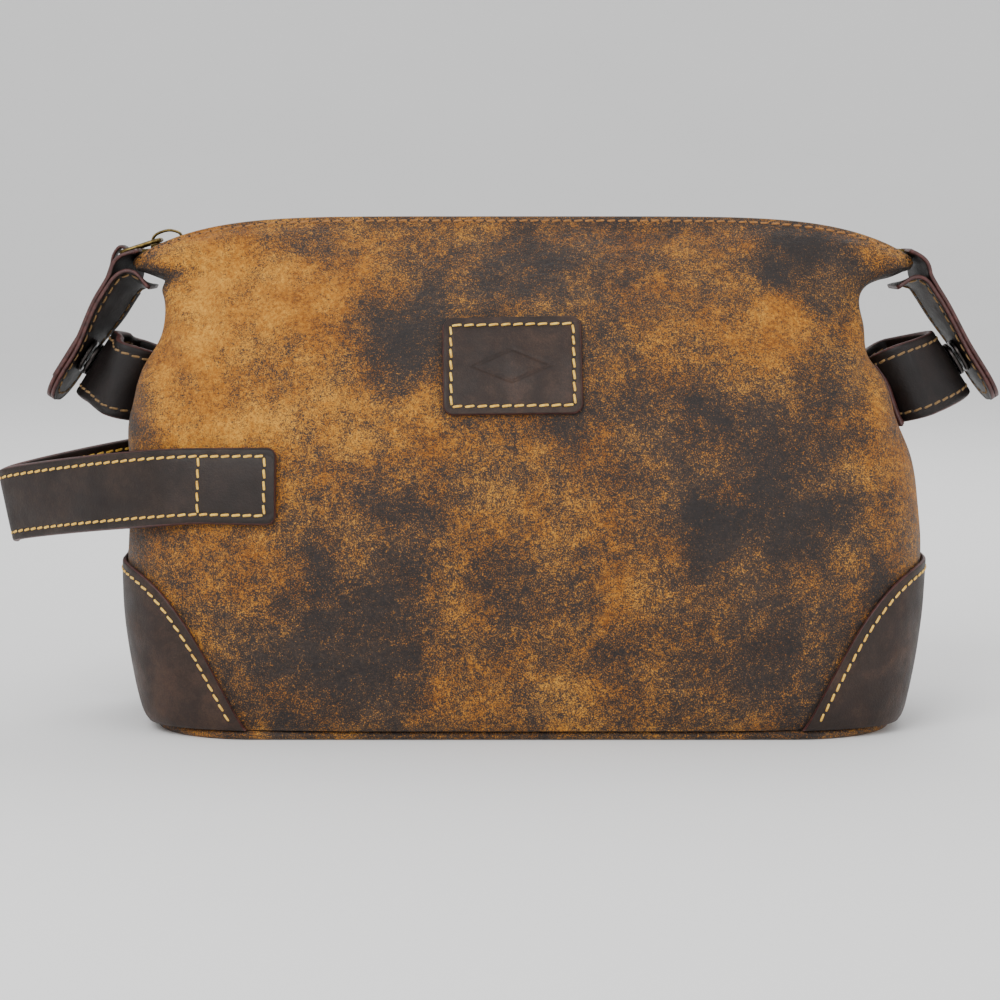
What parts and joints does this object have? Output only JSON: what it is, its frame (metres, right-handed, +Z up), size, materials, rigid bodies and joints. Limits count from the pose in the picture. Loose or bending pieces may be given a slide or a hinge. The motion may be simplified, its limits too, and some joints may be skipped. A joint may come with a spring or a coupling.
{
  "type": "shaving kit bag",
  "caption": "Wide-mouthed leather toiletry bag with a zip along its top, magnetic end tabs on side straps, corner boots and a side carrying loop.",
  "frame": {"origin": "middle of the flat face that the bag rests on", "axes": "+X along the bag to its right end, -Y out of the front with the label, +Z up"},
  "size_m": [0.3552, 0.1242, 0.1768],
  "materials": {
    "tan_leather": "distressed suede-like tan leather, mottled with dark grey-brown patches",
    "dark_leather": "smooth waxed dark brown leather with burgundy cut edges and gold stitching",
    "lining_fabric": "woven cotton twill lining, dark brown",
    "stiff_board": "hidden stiffening board",
    "zip_tape": "dark brown woven zip tape",
    "zip_coil": "dark nylon coil",
    "antique_brass": "antique brass, rubbed bright on its edges",
    "snap_metal": "blackened magnetic snap"
  },
  "bodies": {
    "root": {"back_lining": "lining_fabric", "back_panel": "tan_leather", "base_board": "stiff_board", "bottom_lining": "lining_fabric", "bottom_panel": "tan_leather", "front_lining": "lining_fabric", "front_panel": "tan_leather", "handle_back_anchor": "dark_leather", "handle_front_anchor": "dark_leather", "label_patch": "dark_leather", "left_boot": "dark_leather", "left_strap_back_anchor": "dark_leather", "left_strap_front_anchor": "dark_leather", "left_tab_anchor": "dark_leather", "right_boot": "dark_leather", "right_strap_back_anchor": "dark_leather", "right_strap_front_anchor": "dark_leather", "right_tab_anchor": "dark_leather", "zip_chain_back": "zip_coil", "zip_chain_front": "zip_coil", "zip_stop_left": "antique_brass", "zip_stop_right": "antique_brass", "zip_tape_back": "zip_tape", "zip_tape_front": "zip_tape"},
    "handle": {"handle_inner_ply": "dark_leather", "handle_outer_ply": "dark_leather"},
    "leather_puller": {"leather_puller": "dark_leather"},
    "left_strap": {"left_strap_inner_ply": "dark_leather", "left_strap_magnet": "snap_metal", "left_strap_outer_ply": "dark_leather"},
    "left_tab": {"left_tab_inner_ply": "dark_leather", "left_tab_magnet": "snap_metal", "left_tab_outer_ply": "dark_leather", "left_tab_snap_washer": "snap_metal"},
    "pull_ring": {"pull_ring": "antique_brass"},
    "right_strap": {"right_strap_inner_ply": "dark_leather", "right_strap_magnet": "snap_metal", "right_strap_outer_ply": "dark_leather"},
    "right_tab": {"right_tab_inner_ply": "dark_leather", "right_tab_magnet": "snap_metal", "right_tab_outer_ply": "dark_leather", "right_tab_snap_washer": "snap_metal"},
    "zip_slider": {"zip_slider_bail": "antique_brass", "zip_slider_body": "antique_brass"}
  },
  "joints": [
    {"name": "slider_travel", "type": "hinge", "parent": "root", "child": "zip_slider", "pos_m": [0, 0, -0.712], "axis": [0, 1, 0], "range_deg": [0, 15.9], "deforming": ["leather_puller"]},
    {"name": "pull_ring_swing", "type": "hinge", "parent": "zip_slider", "child": "pull_ring", "pos_m": [-0.12808, 0, 0.16834], "axis": [0, 1, 0], "range_deg": [0, 127.3]},
    {"name": "leather_puller_swing", "type": "hinge", "parent": "pull_ring", "child": "leather_puller", "pos_m": [-0.14159, 0, 0.16395], "axis": [0, 1, 0], "range_deg": [0, 54]},
    {"name": "left_tab_fold", "type": "hinge", "parent": "root", "child": "left_tab", "pos_m": [-0.1378, 0, 0.158], "axis": [0, 1, 0], "range_deg": [0, 54]},
    {"name": "right_tab_fold", "type": "hinge", "parent": "root", "child": "right_tab", "pos_m": [0.1378, 0, 0.158], "axis": [0, -1, 0], "range_deg": [0, 90]},
    {"name": "left_strap_swing", "type": "hinge", "parent": "root", "child": "left_strap", "pos_m": [-0.127, 0, 0.118], "axis": [0, -1, 0], "range_deg": [0, 9]},
    {"name": "right_strap_swing", "type": "hinge", "parent": "root", "child": "right_strap", "pos_m": [0.127, 0, 0.118], "axis": [0, 1, 0], "range_deg": [0, 9]},
    {"name": "handle_swing", "type": "hinge", "parent": "root", "child": "handle", "pos_m": [-0.114, 0, 0.086], "axis": [0, 1, 0], "range_deg": [0, 16]}
  ],
  "couplings": [
    {"joint": "pull_ring_swing", "follows": "slider_travel", "ratio": 8},
    {"joint": "leather_puller_swing", "follows": "left_tab_fold", "ratio": 1}
  ]
}
